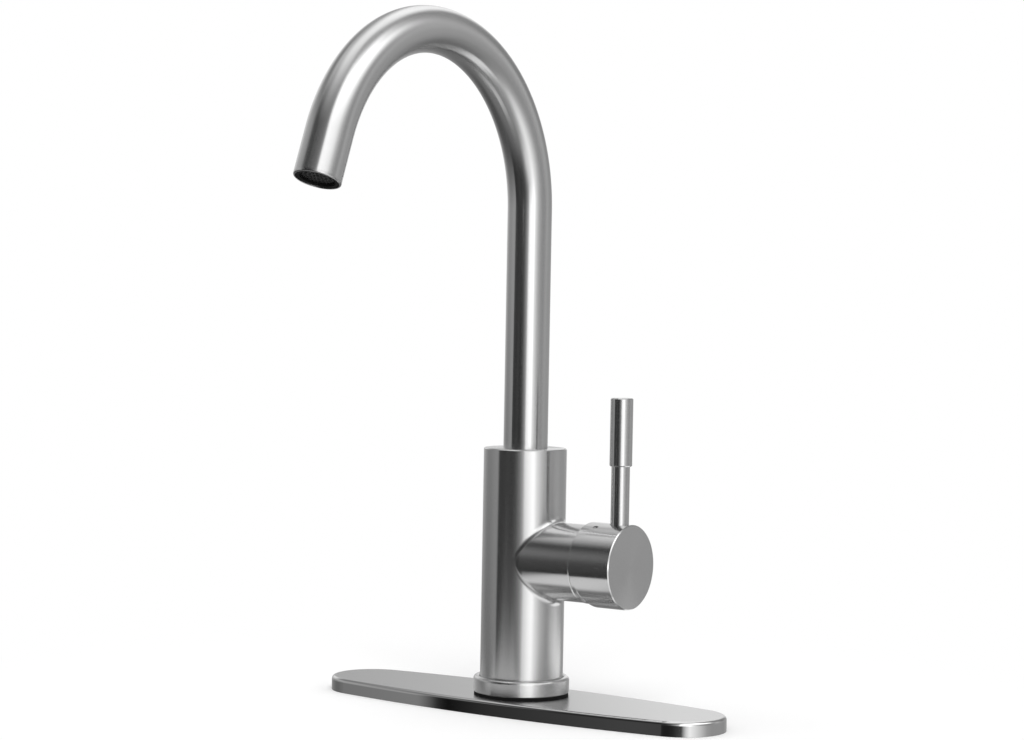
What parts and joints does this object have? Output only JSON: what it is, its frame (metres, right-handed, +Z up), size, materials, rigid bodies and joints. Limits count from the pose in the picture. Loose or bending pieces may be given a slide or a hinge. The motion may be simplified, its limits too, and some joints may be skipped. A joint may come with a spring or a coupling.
{
  "type": "gooseneck bar faucet",
  "caption": "Single-lever mixer with a tall swivelling gooseneck spout on an upright round body, side lever with a round head, flange ring and oval deck plate, brushed steel.",
  "frame": {"origin": "on the axis of the upright body, in the plane of the sink deck that the deck plate rests on", "axes": "+Z up along the body, +X towards the lever, -Y the way the spout reaches at rest"},
  "size_m": [0.25, 0.2234, 0.4305],
  "materials": {
    "brushed_stainless": "fine brushed, satin",
    "turned_brass": "turned, unplated",
    "bright_steel": "bright machined",
    "black_rubber": "matt moulded",
    "gasket_foam": "closed-cell foam",
    "grey_plastic": "moulded",
    "white_acetal": "moulded",
    "black_plastic": "moulded",
    "disc_ceramic": "lapped alumina"
  },
  "bodies": {
    "base": {"faucet_body": "brushed_stainless", "spout_lock_screw": "bright_steel", "base_ring": "brushed_stainless", "base_seal": "black_rubber", "deck_plate": "brushed_stainless", "deck_plate_base": "grey_plastic", "deck_gasket": "gasket_foam", "mounting_shank": "turned_brass", "clamp_gasket": "black_rubber", "clamp_washer": "bright_steel", "mounting_nut": "turned_brass", "port_seals": "black_rubber", "cartridge_base": "grey_plastic", "fixed_disc": "disc_ceramic", "cartridge_housing": "grey_plastic", "retaining_nut": "turned_brass", "bonnet_cap": "brushed_stainless"},
    "spout": {"spout_tube": "brushed_stainless", "spout_stem": "turned_brass", "spout_o_rings": "black_rubber", "spout_glide_ring": "white_acetal", "aerator_seat": "white_acetal", "aerator_seal": "black_rubber", "aerator_core": "black_plastic", "aerator_screen": "black_plastic", "aerator_housing": "black_plastic"},
    "carrier": {"stem_carrier": "white_acetal", "lever_pin": "bright_steel"},
    "handle": {"cartridge_stem": "turned_brass", "handle_hub": "brushed_stainless", "handle_set_screw": "bright_steel", "lever_rod": "brushed_stainless", "lever_grip": "brushed_stainless"},
    "slider": {"moving_disc": "disc_ceramic", "disc_driver": "grey_plastic"}
  },
  "joints": [
    {"name": "spout_swivel", "type": "hinge", "parent": "base", "child": "spout", "pos_m": [0, 0, 0.123], "axis": [0, 0, 1], "continuous": true},
    {"name": "temperature_turn", "type": "hinge", "parent": "base", "child": "carrier", "pos_m": [0.0445, 0, 0.0817], "axis": [1, 0, 0], "range_deg": [-45, 45]},
    {"name": "flow_tilt", "type": "hinge", "parent": "carrier", "child": "handle", "pos_m": [0.0445, 0, 0.0817], "axis": [0, 1, 0], "range_deg": [0, 18]},
    {"name": "disc_slide", "type": "slide", "parent": "carrier", "child": "slider", "axis": [0, 0, 1], "range_m": [0, 0.0036]}
  ],
  "couplings": [
    {"joint": "disc_slide", "follows": "flow_tilt", "m_per_rad": 0.01117}
  ]
}
